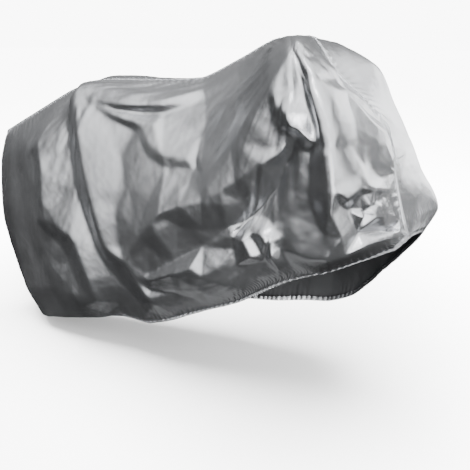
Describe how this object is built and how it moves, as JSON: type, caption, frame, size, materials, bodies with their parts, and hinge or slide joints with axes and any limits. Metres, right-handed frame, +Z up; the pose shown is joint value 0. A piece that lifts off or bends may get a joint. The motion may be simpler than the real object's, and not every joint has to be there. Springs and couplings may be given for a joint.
{
  "type": "bicycle cover",
  "caption": "Fitted silver cloth cover for a bicycle, draped over saddle and handlebar, hollow and open at its drawn-in hem.",
  "frame": {"origin": "middle of the cover's bounding box in plan, at its lowest point", "axes": "+X to the front, +Y to the left side, +Z up"},
  "size_m": [1.5502, 0.5931, 0.9827],
  "materials": {
    "right_panel": "aluminised coating, satin gloss, creased",
    "left_panel": "aluminised coating, satin gloss, creased"
  },
  "bodies": {
    "root": {"right_panel": "right_panel", "left_panel": "left_panel"}
  },
  "joints": []
}
